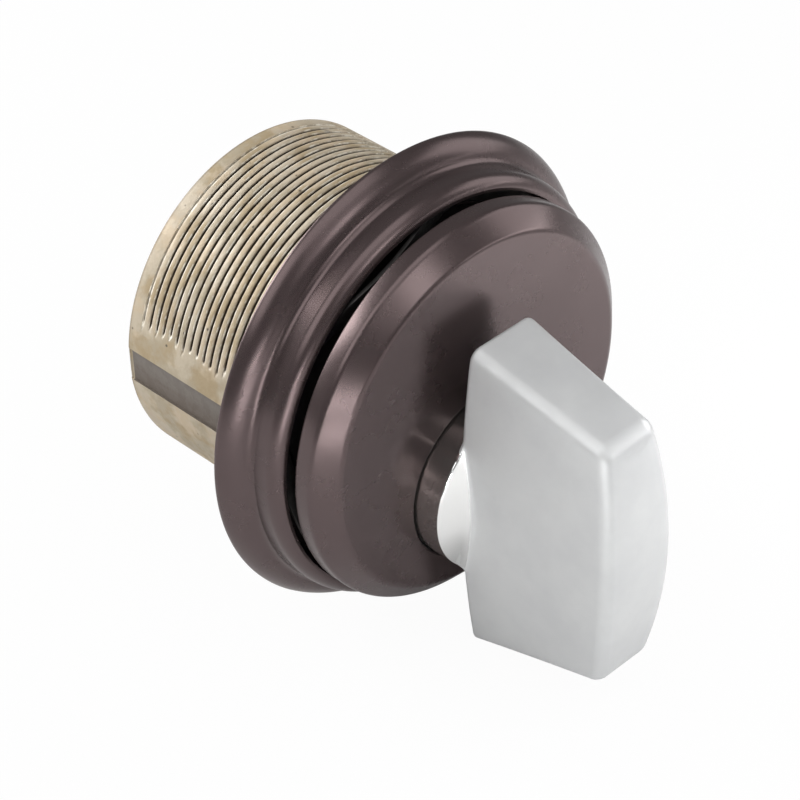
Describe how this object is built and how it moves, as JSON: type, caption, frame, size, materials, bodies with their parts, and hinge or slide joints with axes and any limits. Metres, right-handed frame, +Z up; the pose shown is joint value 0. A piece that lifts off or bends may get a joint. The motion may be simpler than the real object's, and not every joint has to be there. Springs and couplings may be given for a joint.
{
  "type": "thumbturn mortise lock cylinder",
  "caption": "Round threaded mortise lock cylinder with a dark trim ring and face and an off-centre thumbturn that turns the cam of a door's deadlock.",
  "frame": {"origin": "on the axis of the threaded body, in the plane where the trim ring's foot rests on the door", "axes": "+Y along the threaded body into the door, -Y out of the door toward the thumbturn, +Z up, with the turn axis below the body's axis; +X completes the right-handed frame"},
  "size_m": [0.0404, 0.0458, 0.0406],
  "materials": {
    "housing_brass": "dull cast and turned brass",
    "dark_bronze": "oil-rubbed dark bronze, satin",
    "satin_metal": "satin nickel plate on a casting",
    "black_plastic": "matte",
    "black_rubber": "matte",
    "spring_steel": "drawn steel",
    "bright_steel": "bright steel",
    "cam_steel": "zinc-plated steel",
    "washer_bronze": "rolled bronze",
    "spindle_brass": "turned brass"
  },
  "bodies": {
    "housing": {"cylinder_housing": "housing_brass", "face_cap": "dark_bronze", "wave_spring": "spring_steel", "turn_bushing": "black_plastic", "detent_spring": "spring_steel", "thrust_washer": "washer_bronze"},
    "ring": {"trim_ring": "dark_bronze"},
    "turn": {"thumbturn": "satin_metal", "spindle": "spindle_brass", "drag_ring": "black_rubber", "centre_screw": "bright_steel", "split_washer": "spring_steel", "cam": "cam_steel", "cam_screws": "bright_steel"},
    "detent": {"detent_ball": "bright_steel"}
  },
  "joints": [
    {"name": "turn", "type": "hinge", "parent": "housing", "child": "turn", "pos_m": [0, 0, -0.0058], "axis": [0, -1, 0], "continuous": true},
    {"name": "ring_float", "type": "slide", "parent": "housing", "child": "ring", "axis": [0, -1, 0], "range_m": [0, 0.0022], "stiffness_N_per_m": 1500, "deforming": ["wave_spring"]},
    {"name": "detent_drop", "type": "slide", "parent": "housing", "child": "detent", "axis": [0, 1, 0], "range_m": [-0.00018, 0], "stiffness_N_per_m": 400, "springref_m": -0.0012, "deforming": ["detent_spring"]}
  ]
}
